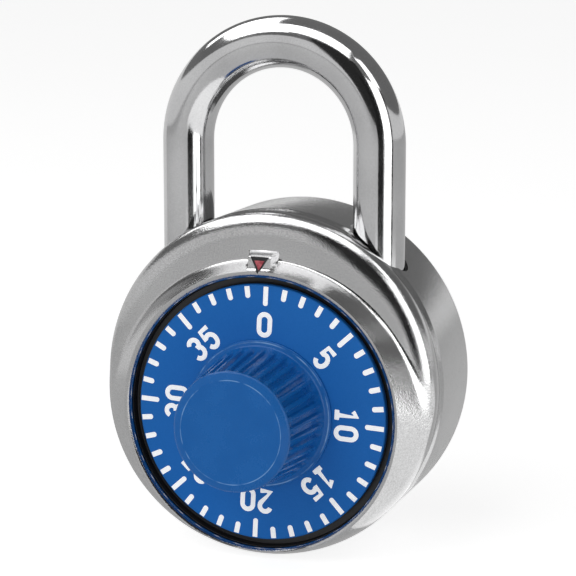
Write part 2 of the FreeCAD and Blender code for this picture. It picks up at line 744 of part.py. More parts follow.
def lever_clip():
    """Open ring in the pin's groove."""
    rear = size("lever_rear") + size("lever_thick") + size("end_play")
    clip = disc("lever_clip", rear, size("clip_thick"), size("clip_radius"), size("pin_groove"),
                size("lever_x"), size("lever_z"))
    mouth = sketch(clip, FRONT, "clip_mouth")
    half = size("clip_mouth") * 0.5
    rectangle(mouth, -half, -size("trim_margin"), half, 0.0)
    grow(clip, "Pocket", mouth, "clip_mouth_cut", size("trim_margin"), Midplane=True)
    return clip


def lever_spring():
    """Torsion spring round the pin's collar. Its front tail lies behind the lever's arm."""
    wire = SIZES["coil_wire"]
    radius = SIZES["coil_radius"]
    rise = SIZES["coil_pitch"] * SIZES["coil_turns"]
    helix = Part.makeHelix(SIZES["coil_pitch"], rise, radius)
    section = Part.Wire(Part.makeCircle(wire, Vector(radius, 0, 0), Vector(0, 1, 0)))
    coil = Part.Wire(helix.Edges).makePipeShell([section], True, True)
    last = math.radians(SIZES["coil_turns"] * 360)
    end = Vector(radius * math.cos(last), radius * math.sin(last), rise)
    along = Vector(-math.sin(last), math.cos(last), 0)
    tail = Part.makeCylinder(wire, SIZES["coil_tail"], end, along)
    start = Part.makeCylinder(wire, SIZES["coil_tail"], Vector(radius, 0, 0), Vector(0, -1, 0))
    made = document.addObject("Part::Feature", "lever_spring")
    made.Label = "lever_spring"
    made.Shape = coil.fuse([tail, start])
    laid = FreeCAD.Rotation(Vector(1, 0, 0), 90)
    made.Placement = FreeCAD.Placement(Vector(), laid * FreeCAD.Rotation(Vector(0, 0, 1), 180))
    for axis, value in (("x", size("lever_x")), ("y", -size("coil_rear")),
                        ("z", size("lever_z"))):
        made.setExpression(f"Placement.Base.{axis}", value.text)
    return made


nodes["locking_lever"] = locking_lever()
nodes["lever_pin"] = lever_pin()
nodes["lever_clip"] = lever_clip()
nodes["lever_spring"] = lever_spring()

# ---------------------------------------------------------------- checks and files

document.recompute()
for item in document.Objects:
    if "Invalid" in item.State or "Error" in item.State:
        raise RuntimeError(f"{item.Name}: {item.State}")
os.makedirs("parts", exist_ok=True)
for label, item in nodes.items():
    if item.Label != label:
        raise RuntimeError(f"{label} is labelled {item.Label}")
    if item.Shape.isNull() or not item.Shape.isValid():
        raise RuntimeError(f"{label} has no valid shape")
    item.Shape.exportStep(f"parts/{label}.step")
    print(f"{label}: {item.Shape.Volume:.1f} mm3, {len(item.Shape.Solids)} solid(s)")
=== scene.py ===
# %% [markdown]
# # A combination padlock
# The lock is a round steel body with a turned bezel, a blue dial with a fluted knob, and a
# polished shackle. The working parts arrive as a fixed frame, already in place and to size.
# What this script adds is the outside: better shapes for what is seen, and a finish for
# every piece. The frame's own box is kept, because no new piece may stand outside it.

import math

import bmesh
import bpy
from mathutils import Matrix, Vector


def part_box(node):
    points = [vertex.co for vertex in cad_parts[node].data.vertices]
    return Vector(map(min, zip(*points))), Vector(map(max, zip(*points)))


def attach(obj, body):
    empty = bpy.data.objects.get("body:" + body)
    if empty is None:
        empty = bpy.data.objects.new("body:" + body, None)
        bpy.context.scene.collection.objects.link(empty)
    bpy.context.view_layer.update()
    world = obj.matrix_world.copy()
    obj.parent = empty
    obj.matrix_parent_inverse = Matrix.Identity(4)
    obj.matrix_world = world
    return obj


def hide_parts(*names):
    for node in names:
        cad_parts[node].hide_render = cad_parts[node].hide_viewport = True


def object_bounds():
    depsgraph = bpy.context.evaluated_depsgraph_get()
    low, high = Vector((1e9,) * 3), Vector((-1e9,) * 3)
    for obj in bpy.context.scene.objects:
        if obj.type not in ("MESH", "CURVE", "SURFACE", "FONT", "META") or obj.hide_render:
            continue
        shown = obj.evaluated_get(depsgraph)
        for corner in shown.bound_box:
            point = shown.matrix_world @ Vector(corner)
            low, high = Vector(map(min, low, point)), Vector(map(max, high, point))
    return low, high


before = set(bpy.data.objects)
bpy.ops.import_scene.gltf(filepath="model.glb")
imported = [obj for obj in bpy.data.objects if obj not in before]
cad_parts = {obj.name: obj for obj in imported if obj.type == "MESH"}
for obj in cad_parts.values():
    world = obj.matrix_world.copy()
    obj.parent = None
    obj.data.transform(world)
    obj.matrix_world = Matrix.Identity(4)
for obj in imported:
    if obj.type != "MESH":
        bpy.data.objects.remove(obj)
cad_low, cad_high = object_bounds()

# %% [markdown]
# ## Drawing in millimetres
# A lock is thought of in millimetres, and Blender's frame is in metres. Each piece is drawn
# in millimetres and shrunk once, when it is handed over. The flat back is depth 0 and the
# dial faces -Y, so a small function turns (across, depth, height) into a point.

# %% Units and places
MM = 0.001


def at(across, depth, height):
    """A point in millimetres: `depth` forward of the lock's flat back."""
    return Vector((across, -depth, height))


def node_box(name):
    """A frame node's lowest and highest corners, in millimetres."""
    low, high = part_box(name)
    return low / MM, high / MM


shell_low, shell_high = node_box("front_shell")
dial_low, dial_high = node_box("dial_plate")
knob_low, knob_high = node_box("knob")
shackle_low, shackle_high = node_box("shackle")

DRUM = (shell_high.x - shell_low.x) / 2             # outside radius of the body
DIAL = (dial_high.x - dial_low.x) / 2               # radius of the dial
DROP = -(dial_high.z + dial_low.z) / 2              # the dial's axis, below the body's
RIM_DEPTH = -shell_low.y                            # depth of the guard ring's rim
DIAL_FACE = -dial_low.y                             # depth of the dial's printed face
KNOB_FACE = -knob_low.y                             # depth of the knob's flat front
ROD = (shackle_high.y - shackle_low.y) / 2          # radius of the shackle's rod
LEG = shackle_high.x - ROD                          # from the middle to each leg's axis
LEG_DEPTH = -(shackle_low.y + shackle_high.y) / 2   # the plane that the shackle lies in
print(f"drum {DRUM:.2f}, dial {DIAL:.2f} dropped {DROP:.2f}, rod {ROD:.2f}, leg {LEG:.2f} mm")

# %% [markdown]
# ## Turning
# Most of a lock is turned on a lathe, so most pieces start as half of a section, spun round
# an axis. Corners on real metal are never sharp, so the section is written as corners with a
# radius, and `rounded` puts the arc in.

# %% Sections with round corners
ARC_STEPS = 8            # straight bits in a rounded corner
MERGE = 1e-4             # points nearer than this are one, in mm


def rounded(corners, closed=False):
    """An outline through (radius, depth, corner radius) points, with an arc at each corner."""
    outline = []
    count = len(corners)
    for index, (across, along, bend) in enumerate(corners):
        corner = Vector((across, along))
        if bend == 0 or (not closed and index in (0, count - 1)):
            outline.append(corner)
            continue
        before = (Vector(corners[index - 1][:2]) - corner).normalized()
        after = (Vector(corners[(index + 1) % count][:2]) - corner).normalized()
        half = before.angle(after) / 2
        centre = corner + (before + after).normalized() * (bend / math.sin(half))
        start = corner + before * (bend / math.tan(half)) - centre
        sweep = start.angle_signed(corner + after * (bend / math.tan(half)) - centre)
        for step in range(ARC_STEPS + 1):
            outline.append(centre + Matrix.Rotation(-sweep * step / ARC_STEPS, 2) @ start)
    return outline


def lathe(mesh, outline, steps, height=0.0, closed=False):
    """Spins an outline of (radius, depth) points round the axis at that height."""
    points = [mesh.verts.new(at(0.0, depth, height + radius)) for radius, depth in outline]
    pairs = list(zip(points, points[1:]))
    if closed:
        pairs.append((points[-1], points[0]))
    edges = [mesh.edges.new(pair) for pair in pairs]
    bmesh.ops.spin(mesh, geom=points + edges, cent=at(0.0, 0.0, height), axis=(0, 1, 0),
                   angle=math.tau, steps=steps, use_merge=True)
    bmesh.ops.remove_doubles(mesh, verts=mesh.verts, dist=MERGE)
    bmesh.ops.recalc_face_normals(mesh, faces=mesh.faces)
    return mesh


# %% [markdown]
# ## Cutting and finishing
# What a lathe can't make, such as a hole across the wall, is cut with a Boolean modifier that
# is applied at once. `hand_over` finishes a piece: it shrinks it to metres, marks the hard
# edges and puts it on the body it rides on.

# %% Cutting and handing over
HARD_EDGE = math.radians(32)


def loose_object(mesh, name):
    """An object in millimetres, for cutting with. The bmesh is used up."""
    data = bpy.data.meshes.new(name)
    mesh.to_mesh(data)
    mesh.free()
    made = bpy.data.objects.new(name, data)
    bpy.context.scene.collection.objects.link(made)
    return made


def carve(mesh, *tools):
    """The bmesh with the tools' shapes cut out of it."""
    blank = loose_object(mesh, "blank")
    cutters = [loose_object(tool, "cutter") for tool in tools]
    for cutter in cutters:
        modifier = blank.modifiers.new("cut", "BOOLEAN")
        modifier.object = cutter
        modifier.operation = "DIFFERENCE"
        modifier.solver = "EXACT"
    solved = blank.evaluated_get(bpy.context.evaluated_depsgraph_get())
    data = bpy.data.meshes.new_from_object(solved)
    result = bmesh.new()
    result.from_mesh(data)
    for thing in [blank, *cutters]:
        bpy.data.objects.remove(thing)
    bpy.data.meshes.remove(data)
    return result


def hand_over(mesh, name, body, finish, replaces=()):
    """Turns a bmesh in millimetres into a finished piece that rides on a body."""
    bmesh.ops.scale(mesh, vec=(MM, MM, MM), verts=mesh.verts)
    for face in mesh.faces:
        face.smooth = True
    for edge in mesh.edges:
        edge.smooth = not (len(edge.link_faces) == 2 and edge.calc_face_angle() > HARD_EDGE)
    piece = loose_object(mesh, name)
    piece.data.materials.append(finish)
    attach(piece, body)
    if replaces:
        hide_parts(*replaces)
    print(f"{name}: {len(piece.data.polygons)} faces")
    return piece

# %% [markdown]
# ## A short way to write materials
# A material is a graph of nodes. Written out link by link it is long and hard to read, so one
# class wraps a socket and lets arithmetic add the Math nodes, and one method adds any other
# node: its settings first, then the values or links of its sockets. Patterns read Object
# coordinates in metres, so a scale of 1000 is a pattern about a millimetre across.

# %% The socket and the finish
class Wire:
    """An output socket. Arithmetic on it adds Math nodes to its tree."""

    def __init__(self, graph, socket):
        self.graph = graph
        self.socket = socket

    def math(self, operation, first, second):
        return self.graph.node("ShaderNodeMath", {"operation": operation},
                               {0: first, 1: second})

    def __add__(self, other):
        return self.math("ADD", self, other)

    def __sub__(self, other):
        return self.math("SUBTRACT", self, other)

    def __rsub__(self, other):
        return self.math("SUBTRACT", other, self)

    def __mul__(self, other):
        return self.math("MULTIPLY", self, other)

    __radd__ = __add__
    __rmul__ = __mul__


class Graph:
    """A node tree that is written from left to right."""

    def __init__(self, tree):
        self.tree = tree
        tree.nodes.clear()

    def node(self, kind, settings=None, sockets=None, output=0):
        """Adds one node: settings first, then the values or links of its sockets."""
        made = self.tree.nodes.new(kind)
        for key, value in (settings or {}).items():
            if key == "stops":
                self.set_stops(made.color_ramp, value)
            else:
                setattr(made, key, value)
        for key, value in (sockets or {}).items():
            if isinstance(value, Wire):
                self.tree.links.new(value.socket, made.inputs[key])
            else:
                made.inputs[key].default_value = value
        return Wire(self, made.outputs[output] if made.outputs else None)

    @staticmethod
    def set_stops(ramp, stops):
        """Gives a two-stop colour ramp its greys, as (place, brightness) pairs."""
        for element, (place, grey) in zip(ramp.elements, stops):
            element.position = place
            element.color = (grey, grey, grey, 1.0)

    def place(self):
        return self.node("ShaderNodeTexCoord", output=3)

    def noise(self, scale, detail=2.0, vector=None):
        """Fractal noise from about 0.3 to 0.7, round features 1/scale metres across."""
        return self.node("ShaderNodeTexNoise", None,
                         {"Vector": vector or self.place(), "Scale": scale, "Detail": detail})

    def spread(self, value, low, high):
        """Stretches a value, so that low becomes 0 and high becomes 1, and clips the rest."""
        return self.node("ShaderNodeMapRange", {"clamp": True},
                         {"Value": value, "From Min": low, "From Max": high})

    def tint(self, factor, first, second):
        """A colour between two, by the factor."""
        return self.node("ShaderNodeMix", {"data_type": "RGBA"},
                         {0: factor, 6: (*first, 1.0), 7: (*second, 1.0)}, output=2)


def material(name, write, **constants):
    """A Principled material. `write` returns the sockets that change over the surface."""
    made = bpy.data.materials.new(name)
    made.use_nodes = True
    graph = Graph(made.node_tree)
    sockets = {key.replace("_", " "): value for key, value in constants.items()}
    surface = graph.node("ShaderNodeBsdfPrincipled", None, {**sockets, **write(graph)})
    graph.node("ShaderNodeOutputMaterial", None, {"Surface": surface})
    print("finish:", name)
    return made


def relief(graph, height, distance):
    """A normal from a height between 0 and 1, `distance` metres tall."""
    return graph.node("ShaderNodeBump", None,
                      {"Strength": 1.0, "Distance": distance, "Height": height})


# %% [markdown]
# ## Metal finishes
# The body is drawn stainless steel, buffed and then left satin: a fine even grain, a few
# broad clouds where a hand or a cloth has been, and no colour of its own. The shackle is
# hardened rod, polished and plated, so it is smoother and its reflections are sharp. Both
# are one colour of steel, and it is the roughness and a very shallow grain that part them.

# %% Steel
GRAIN = 5200.0           # satin grain, about a fifth of a millimetre
CLOUD = 95.0             # handling marks, about a centimetre


def write_satin(graph):
    grain = graph.spread(graph.noise(GRAIN, 3.0), 0.32, 0.68)
    cloud = graph.spread(graph.noise(CLOUD, 3.0), 0.35, 0.65)
    return {
        "Base Color": graph.tint(grain * 0.75 + cloud * 0.25, (0.40, 0.40, 0.40),
                                 (0.56, 0.56, 0.565)),
        "Roughness": 0.08 + 0.04 * cloud + 0.05 * grain,
        "Normal": relief(graph, grain, 0.0000065),
    }


def from_dial_axis(graph):
    """The distance from the dial's axis, in metres."""
    flat = graph.node("ShaderNodeVectorMath", {"operation": "MULTIPLY_ADD"},
                      {0: graph.place(), 1: (1.0, 0.0, 1.0), 2: (0.0, 0.0, DROP * MM)})
    return graph.node("ShaderNodeVectorMath", {"operation": "LENGTH"}, {0: flat}, output=1)


PAINTED_SHADE_RADIUS, PAINTED_SHADE_SUNK = 19.0, 1.0     # where the painted shade of the recess stops, in mm


def write_body(graph):
    """Satin steel, with painted shade: black, not metal, in the recess that the dial turns in."""
    radius = from_dial_axis(graph)
    depth = graph.node("ShaderNodeSeparateXYZ", None, {0: graph.place()}, output=1)
    within = 1.0 - graph.spread(radius, PAINTED_SHADE_RADIUS * MM, (PAINTED_SHADE_RADIUS + 0.1) * MM)
    stop = PAINTED_SHADE_SUNK - RIM_DEPTH
    behind = graph.spread(depth, stop * MM, (stop + 0.2) * MM)
    # Painted shade: the recess wall is coloured black and made non-metal, to stand for the dark
    # it shows round the dial.
    painted_shade = within * behind
    steel = write_satin(graph)
    return {
        "Base Color": graph.node("ShaderNodeMix", {"data_type": "RGBA"},
                                 {0: painted_shade, 6: steel["Base Color"],
                                  7: (0.012, 0.012, 0.013, 1.0)}, output=2),
        "Roughness": steel["Roughness"] + 0.18 * painted_shade,
        "Metallic": 1.0 - painted_shade,
        "Normal": steel["Normal"],
    }


def write_polished(graph):
    speck = graph.spread(graph.noise(6400.0, 2.0), 0.36, 0.64)
    cloud = graph.spread(graph.noise(130.0, 3.0), 0.35, 0.65)
    return {
        "Base Color": graph.tint(speck * 0.5 + cloud * 0.5, (0.50, 0.50, 0.505),
                                 (0.62, 0.62, 0.625)),
        "Roughness": 0.055 + 0.05 * cloud + 0.03 * speck,
        "Normal": relief(graph, speck, 0.0000008),
    }


satin_steel = material("satin_steel", write_satin, Metallic=1.0)
# The body's finish holds painted shade in the dial's recess.
body_steel_painted_shade = material("body_steel_painted_shade", write_body)
bright_steel = material("bright_steel", write_polished, Metallic=1.0)

# %% [markdown]
# ## Blue, white, red and black
# The dial is enamelled and the knob is moulded, in the same blue. Enamel settles with a very
# soft orange peel, and a moulding shows a finer one. The digits and the marks are filled with
# white, which is never quite even and glows a little, a painted brightness, and the index is
# a drop of red in a black seat.

# %% Paint and plastic
DIAL_DEEP, DIAL_LIGHT = (0.009, 0.128, 0.45), (0.014, 0.150, 0.50)
KNOB_DEEP, KNOB_LIGHT = (0.004, 0.108, 0.385), (0.008, 0.126, 0.425)
# The pale blue below is a painted highlight, for light caught on the knob's edges.
HIGHLIGHT_BLUE = (0.22, 0.42, 0.72)
HIGHLIGHT_RINGS = ((7.05, 0.09), (10.0, 0.12))      # radius and width of the painted highlight rings, in mm


def write_enamel(graph):
    peel = graph.noise(1500.0, 2.0)
    fleck = graph.spread(graph.noise(5200.0, 2.0), 0.3, 0.7)
    cloud = graph.spread(graph.noise(70.0, 3.0), 0.35, 0.65)
    return {
        "Base Color": graph.tint(fleck * 0.4 + cloud * 0.6, DIAL_DEEP, DIAL_LIGHT),
        "Roughness": 0.36 + 0.08 * cloud + 0.05 * fleck,
        "Normal": relief(graph, peel, 0.000004),
    }


def worn_edge(graph, radius, edge, width):
    """1 on a thin ring round the dial's axis, and 0 away from it. Sizes are in mm."""
    inner = graph.spread(radius, (edge - width) * MM, edge * MM)
    outer = graph.spread(radius, edge * MM, (edge + width) * MM)
    return inner * (1.0 - outer)


def write_moulded(graph):
    """Moulded blue, with painted highlights: pale rings along the border of the face and the rim
    of the skirt.
    """
    peel = graph.noise(2600.0, 2.0)
    fleck = graph.spread(graph.noise(4600.0, 2.0), 0.3, 0.7)
    rub = graph.spread(graph.noise(210.0, 4.0), 0.4, 0.62)
    patchy = graph.spread(graph.noise(420.0, 3.0), 0.38, 0.58)
    radius = from_dial_axis(graph)
    border, rim = (worn_edge(graph, radius, *ring) for ring in HIGHLIGHT_RINGS)
    # Painted highlight: pale blue rings where the face's border and the skirt's rim catch the
    # light, broken up by noise.
    painted_highlight = (border + rim) * patchy
    return {
        "Base Color": graph.node("ShaderNodeMix", {"data_type": "RGBA"},
                                 {0: painted_highlight, 7: (*HIGHLIGHT_BLUE, 1.0),
                                  6: graph.tint(fleck * 0.5 + rub * 0.5, KNOB_DEEP,
                                                KNOB_LIGHT)}, output=2),
        "Roughness": 0.2 + 0.07 * rub + 0.04 * fleck,
        "Normal": relief(graph, peel, 0.000003),
    }


def write_white(graph):
    cover = graph.spread(graph.noise(1900.0, 3.0), 0.3, 0.6)
    return {
        "Base Color": graph.tint(cover, (0.85, 0.87, 0.89), (0.95, 0.95, 0.95)),
        "Roughness": 0.42 + 0.12 * cover,
        "Normal": relief(graph, cover, 0.000004),
    }


def write_red(graph):
    cover = graph.spread(graph.noise(1700.0, 3.0), 0.35, 0.65)
    return {
        "Base Color": graph.tint(cover, (0.30, 0.035, 0.05), (0.50, 0.09, 0.11)),
        "Roughness": 0.22 + 0.14 * cover,
        "Normal": relief(graph, cover, 0.00001),
    }


def write_black(graph):
    dust = graph.spread(graph.noise(2400.0, 3.0), 0.4, 0.7)
    return {
        "Base Color": graph.tint(dust, (0.006, 0.006, 0.007), (0.02, 0.02, 0.022)),
        "Roughness": 0.34 + 0.2 * dust,
        "Normal": relief(graph, dust, 0.000004),
    }


enamel_blue = material("enamel_blue", write_enamel, Specular_IOR_Level=0.12)
moulded_blue = material("moulded_blue", write_moulded, Specular_IOR_Level=0.22)
# The white glows a little of its own accord: painted light that makes the marks brighter than the
# lamps do.
glowing_white = material("glowing_white", write_white, Specular_IOR_Level=0.3,
                        Emission_Color=(1.0, 1.0, 1.0, 1.0), Emission_Strength=0.2)
filled_red = material("filled_red", write_red)
seat_black = material("seat_black", write_black)

# %% [markdown]
# ## Finishes inside the lock
# Nothing inside is polished. Pressings are plain steel with a thin zinc flash that has gone
# patchy, springs are blued, and the spacers and the bearing are tumbled brass. They are seen
# only when the shackle is up or the lock is taken apart, but they are real surfaces too.

# %% Plain steel, blued steel and brass
def write_zinc(graph):
    flake = graph.node("ShaderNodeTexVoronoi", None,
                       {"Vector": graph.place(), "Scale": 1300.0})
    patch = graph.spread(graph.noise(260.0, 4.0), 0.35, 0.65)
    return {
        "Base Color": graph.tint(patch, (0.30, 0.30, 0.31), (0.50, 0.50, 0.50)),
        "Roughness": 0.30 + 0.16 * patch + 0.08 * flake,
        "Normal": relief(graph, flake, 0.000004),
    }


def write_blued(graph):
    scale = graph.spread(graph.noise(900.0, 4.0), 0.3, 0.7)
    return {
        "Base Color": graph.tint(scale, (0.045, 0.055, 0.09), (0.17, 0.17, 0.19)),
        "Roughness": 0.26 + 0.14 * scale,
        "Normal": relief(graph, scale, 0.000003),
    }


def write_brass(graph):
    tumble = graph.spread(graph.noise(1100.0, 4.0), 0.35, 0.65)
    return {
        "Base Color": graph.tint(tumble, (0.48, 0.31, 0.10), (0.72, 0.52, 0.22)),
        "Roughness": 0.24 + 0.14 * tumble,
        "Normal": relief(graph, tumble, 0.000005),
    }


zinc_steel = material("zinc_steel", write_zinc, Metallic=1.0)
blued_steel = material("blued_steel", write_blued, Metallic=1.0)
tumbled_brass = material("tumbled_brass", write_brass, Metallic=1.0)

INNER_FINISHES = {
    zinc_steel: ("inner_liner", "mechanism_plate", "plate_standoffs", "heel_guide",
                 "heel_retainer", "wheel_post", "spindle", "driver_disc", "driver_screw",
                 "dial_washer", "lever_pin", "locking_lever"),
    blued_steel: ("pack_spring", "lever_clip", "lever_spring"),
    tumbled_brass: ("tumbler_1", "tumbler_2", "tumbler_3", "rear_spacer", "middle_spacer",
                    "front_spacer", "spindle_bushing"),
}
for finish, names in INNER_FINISHES.items():
    for name in names:
        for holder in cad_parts[name].material_slots:
            holder.material = finish
print("inner pieces finished:", sum(len(names) for names in INNER_FINISHES.values()))

# %% [markdown]
# ## The body's front
# The front is pressed from one sheet. A flat crescent runs round the edge, and a raised ring
# stands on it to guard the dial. The ring isn't central: the dial hangs low, so the ring's
# slope is wide at the top, and at the bottom it is trimmed by a broad rounding of its own.
# Each surface is written as a height over the face. Where two of them cross, the higher one
# counts, eased over half a millimetre, as a press would leave it.

# %% Heights of the face
CRESCENT = 20.2          # depth of the flat crescent
EDGE_WIDE, EDGE_DEEP = 3.4, 2.2          # its outer rounding, wider than it is deep
EDGE_DEPTH = CRESCENT - EDGE_DEEP
RIM = 19.8               # the ring's top circle, round the dial
RIM_ROUND = 0.8          # its rounding into the recess
ROOT = 22.9              # the ring's foot circle
ROOT_DROP = 5.2
ROOT_DEPTH = 20.1
CREST_ROUND = 9.9        # the trimmed rounding, low on the ring
BOSS_WIDTH = 3.4
BOSS_LOW = (16.0, RIM_DEPTH - 0.25)      # height and depth of the boss's foot
BOSS_HIGH = (18.3, 21.92)                # and of its top edge
BOSS_FALL, BOSS_TOP_FALL = 4.0, 3.0      # how steeply its sides and its top edge fall
BLEND, BOSS_BLEND = 0.5, 0.3             # widths of the easing where surfaces cross


def soft_max(first, second, width=BLEND):
    """The larger of two heights, eased where they cross."""
    near = max(width - abs(first - second), 0.0) / width
    return max(first, second) + near * near * width / 4


def soft_min(first, second, width=BLEND):
    return -soft_max(-first, -second, width)


def crescent_height(radius):
    outside = max(0.0, radius - (DRUM - EDGE_WIDE)) / EDGE_WIDE
    return EDGE_DEPTH + EDGE_DEEP * math.sqrt(max(1.0 - outside ** 2, 0.0))


def crest_height(radius):
    inside = max(0.0, radius - (DRUM - CREST_ROUND))
    return EDGE_DEPTH + math.sqrt(max(CREST_ROUND ** 2 - inside ** 2, 0.0))


def ring_height(across, height):
    """The slanting cone between the foot circle and the rim circle, at one point."""
    slide = ROOT_DROP - DROP
    shrink = ROOT - RIM
    up = height + ROOT_DROP
    a = slide ** 2 - shrink ** 2
    b = ROOT * shrink - up * slide
    c = across ** 2 + up ** 2 - ROOT ** 2
    share = (-b + math.sqrt(max(b * b - a * c, 0.0))) / a
    return ROOT_DEPTH + (RIM_DEPTH - ROOT_DEPTH) * share


def boss_height(across, height):
    """The index boss: a flat facet in the ring's slope, steep at its sides and its top."""
    fall = (BOSS_HIGH[1] - BOSS_LOW[1]) / (BOSS_HIGH[0] - BOSS_LOW[0])
    facet = BOSS_LOW[1] + fall * (height - BOSS_LOW[0])
    beside = max(abs(across) - BOSS_WIDTH / 2, 0.0)
    above = max(height - BOSS_HIGH[0], 0.0)
    return facet - max(BOSS_FALL * beside, BOSS_TOP_FALL * above)


def face_depth(across, height):
    radius = math.hypot(across, height)
    raised = soft_max(crescent_height(radius), ring_height(across, height))
    if height > 0:
        raised = soft_max(raised, boss_height(across, height), BOSS_BLEND)
    return soft_min(raised, crest_height(radius))


print("ring stands", round(RIM_DEPTH - CRESCENT, 2), "mm over the crescent")

# %% [markdown]
# A lathe alone can't turn a ring that is off centre, and carving it from separate solids leaves
# hard joints. So the section is spun first, as if it were central, and its points are then
# moved: each circle of the face slides down by its share of the drop, and each point is raised
# to the height worked out above.

# %% Spin the shell
AROUND = 480             # steps round the body
FACE_CIRCLES = 54        # circles between the body's edge and the rim
NECK, NECK_DEPTH = 23.65, 15.7           # the bottom of the groove behind the bezel
NECK_REAR = 14.8
LIP, LIP_DEPTH = 21.0, 0.7
WALL = 1.0
RECESS = 18.9
FLOOR, FLOOR_REAR = 20.4, 19.3
BEARING = 3.6
SEAM = 1e-3              # the outer and inner skins are joined over this distance

outside = rounded([
    (LIP, LIP_DEPTH, 0.0), (LIP, 0.0, 0.2), (DRUM, 0.0, 2.0), (DRUM, NECK_REAR, 0.8),
    (NECK, NECK_DEPTH, 1.2), (DRUM, EDGE_DEPTH, 0.0),
])
for circle in range(1, FACE_CIRCLES + 1):
    share = circle / FACE_CIRCLES
    outside.append((DRUM + (RIM - DRUM) * share, RIM_DEPTH))
outside += rounded([
    (RIM, RIM_DEPTH, 0.0), (RECESS, RIM_DEPTH, RIM_ROUND), (RECESS, FLOOR, 0.15),
    (BEARING, FLOOR, 0.0), (BEARING, FLOOR_REAR, 0.0),
])[1:]
shell = lathe(bmesh.new(), outside, AROUND)
for point in shell.verts:
    across, depth, height = point.co.x, -point.co.y, point.co.z
    radius = math.hypot(across, height)
    if depth < EDGE_DEPTH - 0.01 or radius > DRUM - 0.001:
        continue
    share = min((DRUM - radius) / (DRUM - RIM), 1.0)
    point.co.z = height - DROP * share
    if share < 0.999:
        point.co.y = -face_depth(across, point.co.z)
    else:
        point.co.y = -min(depth, crest_height(math.hypot(across, point.co.z)))

inside = bmesh.new()
lathe(inside, [(BEARING, FLOOR_REAR), (DRUM - WALL, FLOOR_REAR), (DRUM - WALL, LIP_DEPTH),
               (LIP, LIP_DEPTH)], AROUND)
for point in inside.verts:
    if math.hypot(point.co.x, point.co.z) < RIM:
        point.co.z -= DROP
scratch = bpy.data.meshes.new("scratch")
inside.to_mesh(scratch)
inside.free()
shell.from_mesh(scratch)
bpy.data.meshes.remove(scratch)
bmesh.ops.remove_doubles(shell, verts=shell.verts, dist=SEAM)
bmesh.ops.recalc_face_normals(shell, faces=shell.faces)
print("shell closed:", all(len(edge.link_faces) == 2 for edge in shell.edges))

# %% [markdown]
# The shackle goes through two holes in the top of the drum, and the index triangle sits in a
# pocket on the boss. A hole that runs across a round wall leaves a saddle-shaped rim, which
# no lathe or extrude gives, so these three are cut with solids: two upright cylinders and a
# prism that leans as the boss does.

# %% Cut the leg holes and the index pocket
HOLE = 4.0
LEAN = math.atan2(BOSS_LOW[1] - BOSS_HIGH[1], BOSS_HIGH[0] - BOSS_LOW[0])
MARK_WIDTH, MARK_HEIGHT, MARK_SUNK = 2.7, 2.4, 0.45
mark_seat = (Matrix.Translation(at(0.0, (BOSS_LOW[1] + BOSS_HIGH[1]) / 2,
                                   (BOSS_LOW[0] + BOSS_HIGH[0]) / 2))
             @ Matrix.Rotation(-LEAN, 4, "X"))


def leg_cutter(side):
    cutter = bmesh.new()
    upright = Matrix.Translation(at(side * LEG, LEG_DEPTH, DRUM * 0.75))
    bmesh.ops.create_cone(cutter, cap_ends=True, segments=96, radius1=HOLE, radius2=HOLE,
                          depth=DRUM, matrix=upright)
    return cutter


def triangle(width, height, rear, front):
    """A prism that points down, standing in the boss from `rear` to `front` of its facet."""
    prism = bmesh.new()
    corners = [prism.verts.new(at(x, rear, z)) for x, z in
               ((0.0, -height / 2), (width / 2, height / 2), (-width / 2, height / 2))]
    face = prism.faces.new(corners)
    grown = bmesh.ops.extrude_face_region(prism, geom=[face])["geom"]
    moved = [thing for thing in grown if isinstance(thing, bmesh.types.BMVert)]
    bmesh.ops.translate(prism, verts=moved, vec=at(0.0, front - rear, 0.0))
    bmesh.ops.recalc_face_normals(prism, faces=prism.faces)
    return prism


def seated(prism):
    """Leans a prism into the boss."""
    bmesh.ops.transform(prism, matrix=mark_seat, verts=prism.verts)
    return prism


pocket = seated(triangle(MARK_WIDTH, MARK_HEIGHT, -MARK_SUNK, 2.0))
shell = carve(shell, leg_cutter(1), leg_cutter(-1), pocket)
hand_over(shell, "body_front", "housing", body_steel_painted_shade, ["front_shell"])

# %% [markdown]
# ## The index triangle
# The index is a black seat with a drop of red in the middle. The seat is a prism whose front
# face is inset and pushed back, which leaves a rim all round, and the red piece is a smaller
# prism with softened edges that stands in it.

# %% Black seat and red drop
MARK_PLAY = 0.06
SEAT_RIM, SEAT_PROUD, SEAT_DEEP = 0.34, 0.04, 0.16
DROP_REAR, DROP_FRONT = -0.3, 0.02
seat = triangle(MARK_WIDTH - MARK_PLAY, MARK_HEIGHT - MARK_PLAY, -MARK_SUNK, SEAT_PROUD)
front = min(seat.faces, key=lambda face: face.calc_center_median().y)
bmesh.ops.inset_region(seat, faces=[front], thickness=SEAT_RIM, use_even_offset=True)
bmesh.ops.translate(seat, verts=front.verts, vec=at(0.0, -SEAT_DEEP, 0.0))
bmesh.ops.bevel(seat, geom=[edge for edge in seat.edges if edge.calc_face_angle() > 0.6],
                offset=0.03, segments=2, profile=0.5, affect="EDGES", material=-1)
hand_over(seated(seat), "index_seat", "housing", seat_black)

drop = triangle(MARK_WIDTH - 3.6 * SEAT_RIM, MARK_HEIGHT - 3.0 * SEAT_RIM, DROP_REAR,
                DROP_FRONT)
bmesh.ops.bevel(drop, geom=drop.edges[:], offset=0.07, segments=4, profile=0.5,
                affect="EDGES", material=-1)
hand_over(seated(drop), "index_drop", "housing", filled_red, ["index_marker"])

# %% [markdown]
# ## The back
# The back is a plain pressed cover. Its flange is trapped under the drum's rolled lip, and its
# middle comes out flush. Both edges of the step are soft, because a press can't make them
# sharp, and they are most of what the eye finds on the back.

